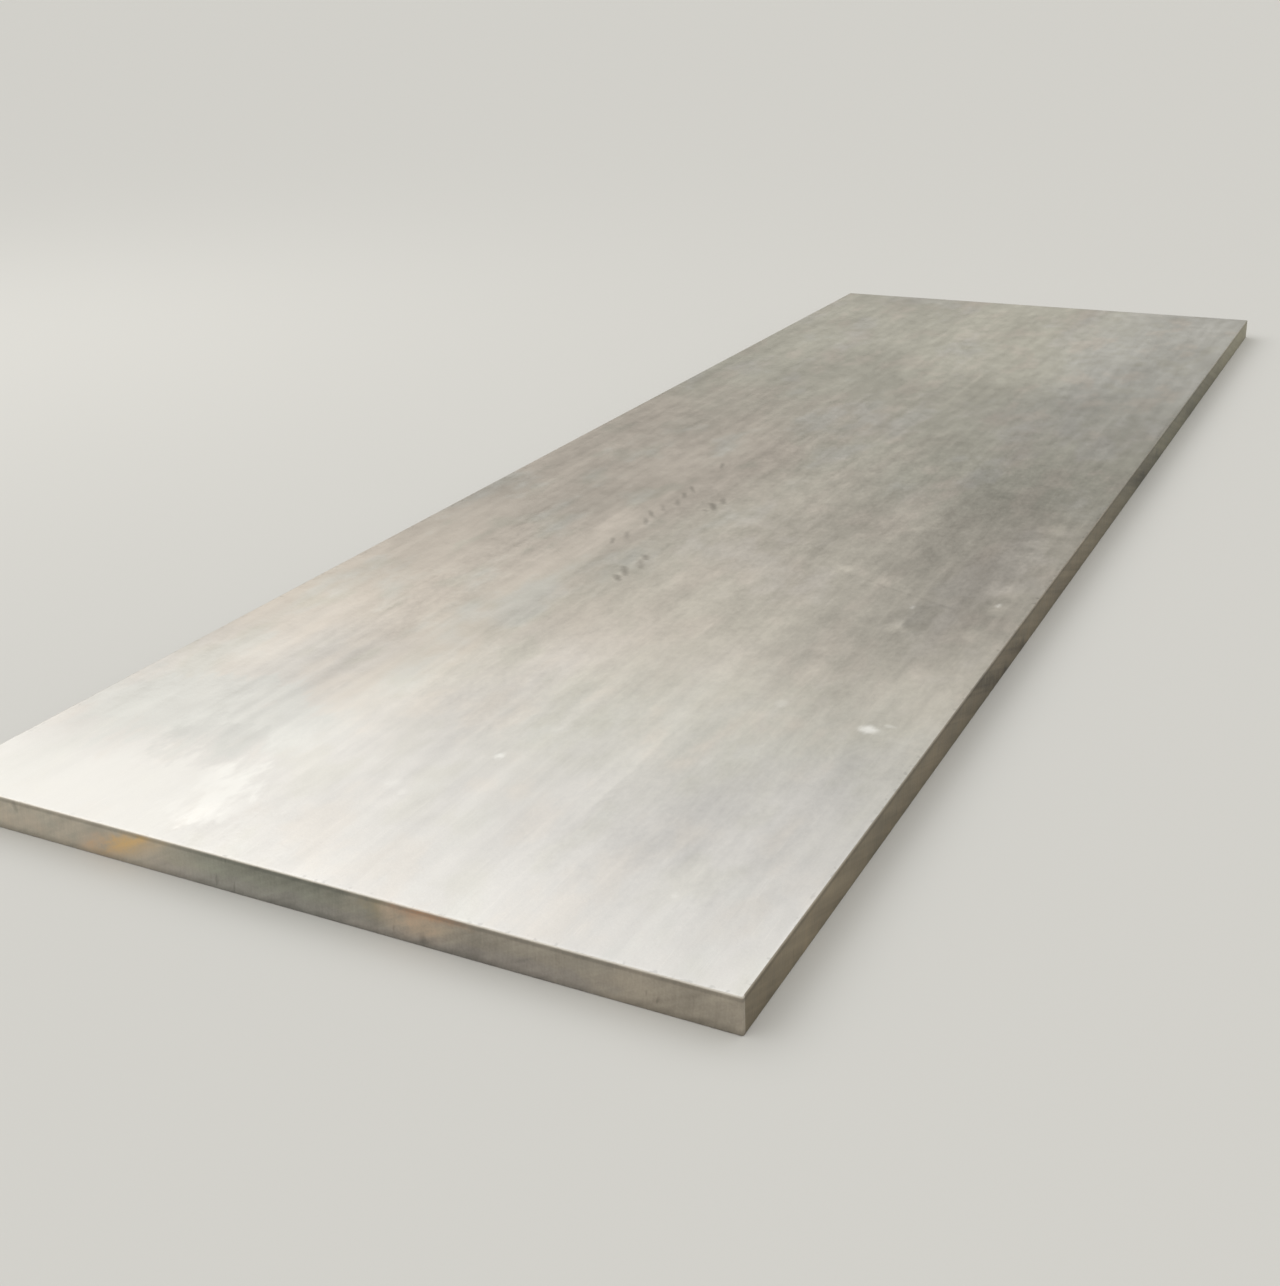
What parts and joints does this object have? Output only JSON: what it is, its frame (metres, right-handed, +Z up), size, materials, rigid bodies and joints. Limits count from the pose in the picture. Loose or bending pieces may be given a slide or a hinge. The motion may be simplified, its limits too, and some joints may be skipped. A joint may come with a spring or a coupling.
{
  "type": "nickel alloy plate",
  "caption": "Thick rectangular hot-rolled nickel alloy plate with pickled faces and cut edges, raw stock that lies flat to be cut or machined.",
  "frame": {"origin": "centre of the underside", "axes": "+Y along the plate's length, which is the rolling direction, +X across its width, +Z up through its thickness"},
  "size_m": [1.5, 4.5, 0.061],
  "materials": {
    "nickel_alloy": "hot rolled, annealed and pickled: satin silver-grey faces with soft streaks along the rolling direction, duller grey-tan cut edges"
  },
  "bodies": {
    "root": {"plate": "nickel_alloy"}
  },
  "joints": []
}
